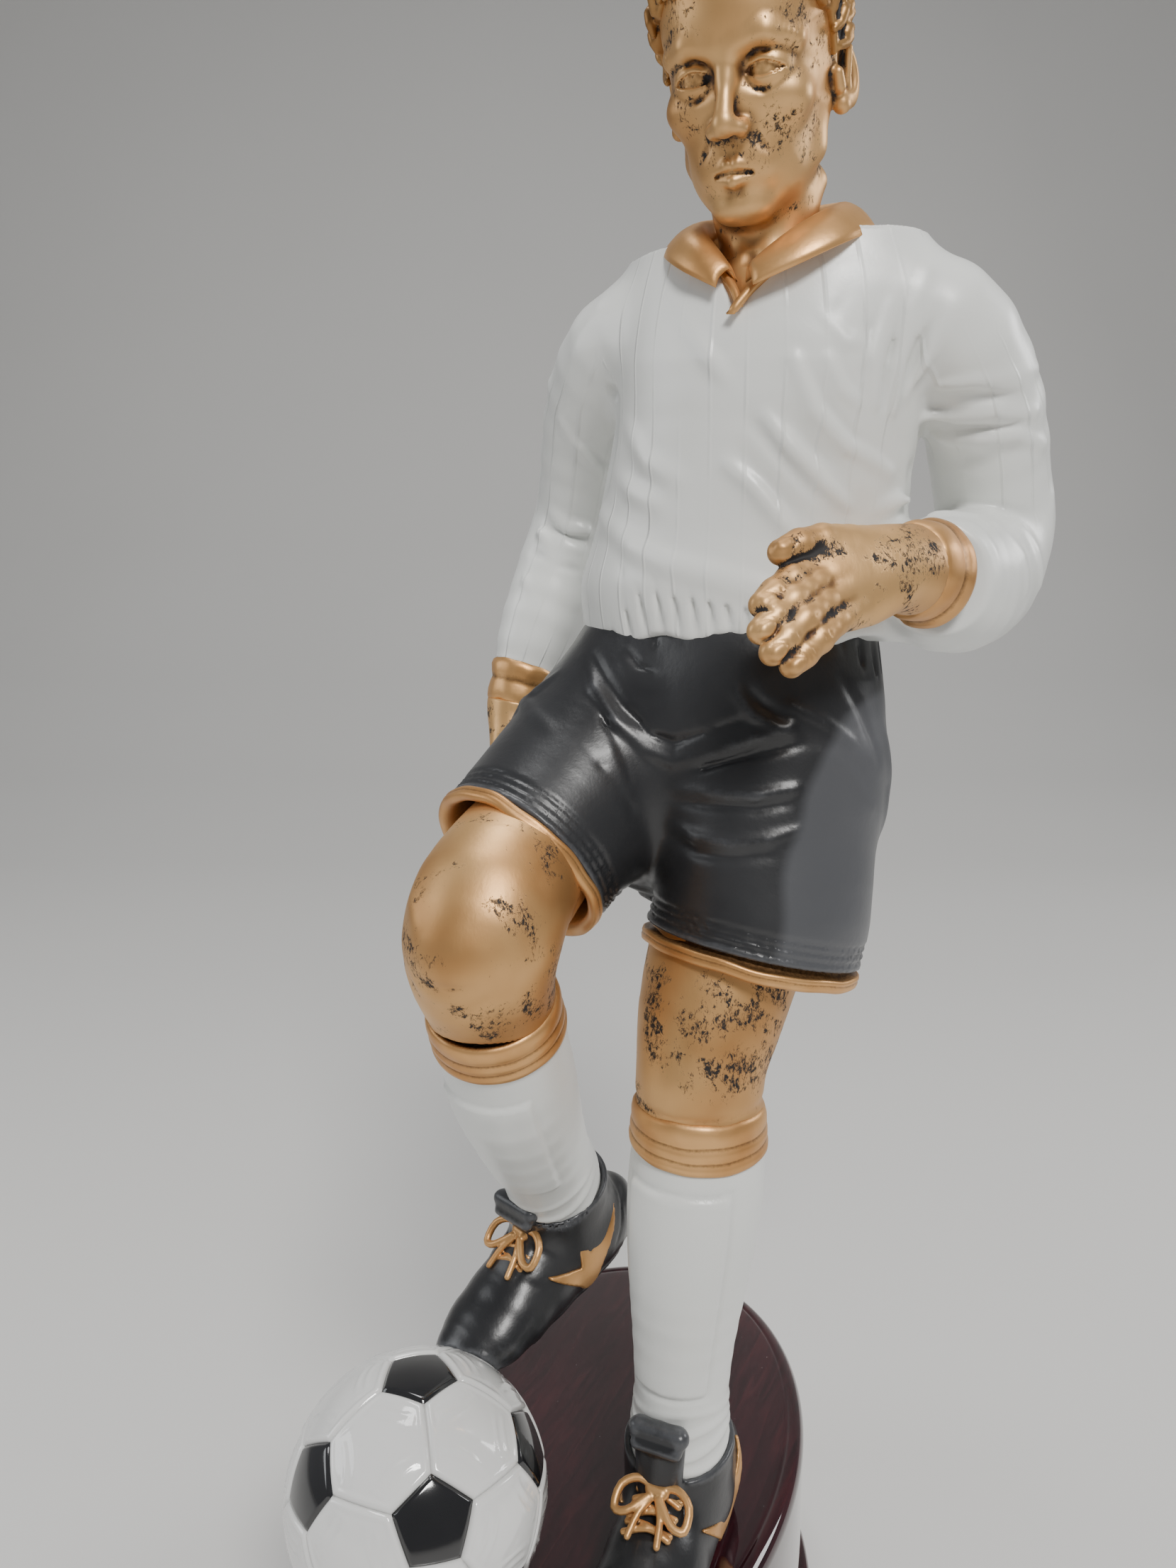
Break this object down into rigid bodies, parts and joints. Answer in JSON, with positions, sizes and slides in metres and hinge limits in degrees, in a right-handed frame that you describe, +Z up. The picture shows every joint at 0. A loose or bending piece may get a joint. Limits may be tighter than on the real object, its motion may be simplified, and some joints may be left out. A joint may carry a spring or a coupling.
{
  "type": "figure trophy",
  "caption": "Footballer figure trophy: a cast player with one boot on a raised ball, standing on a tall oval two-tier plinth with a felt underside.",
  "frame": {"origin": "centre of the underside of the felt sheet that the trophy stands on", "axes": "+Z up; the player faces -Y along the plinth's long axis, and the player's left hand is on +X"},
  "size_m": [0.1694, 0.188, 0.4348],
  "materials": {
    "lacquered_wood": "high gloss",
    "felt": "matte",
    "zinc_steel": "zinc plated",
    "white_gloss": "gloss paint on resin",
    "black_gloss": "gloss paint on resin",
    "bronze_skin": "antiqued bronze paint on resin",
    "gold_trim": "satin gold paint on resin",
    "pearl_white": "satin pearl paint on resin",
    "satin_black": "satin paint on resin"
  },
  "bodies": {
    "root": {"plinth_block": "lacquered_wood", "plinth_foot": "lacquered_wood", "felt_sheet": "felt", "fixing_screws": "zinc_steel", "screw_washers": "zinc_steel", "ball": "white_gloss", "ball_patches": "black_gloss", "left_boot": "satin_black", "left_boot_laces": "gold_trim", "left_boot_stripe": "gold_trim", "left_sock": "pearl_white", "left_sock_band": "gold_trim", "left_leg": "bronze_skin", "right_boot": "satin_black", "right_boot_laces": "gold_trim", "right_boot_stripe": "gold_trim", "right_sock": "pearl_white", "right_sock_band": "gold_trim", "right_leg": "bronze_skin", "shorts": "satin_black", "left_hem_band": "gold_trim", "right_hem_band": "gold_trim", "jersey_body": "pearl_white", "left_sleeve": "pearl_white", "right_sleeve": "pearl_white", "left_cuff": "gold_trim", "right_cuff": "gold_trim", "left_hand": "bronze_skin", "right_hand": "bronze_skin", "collar": "gold_trim", "head": "bronze_skin", "hair": "bronze_skin", "locating_dowels": "zinc_steel"}
  },
  "joints": []
}
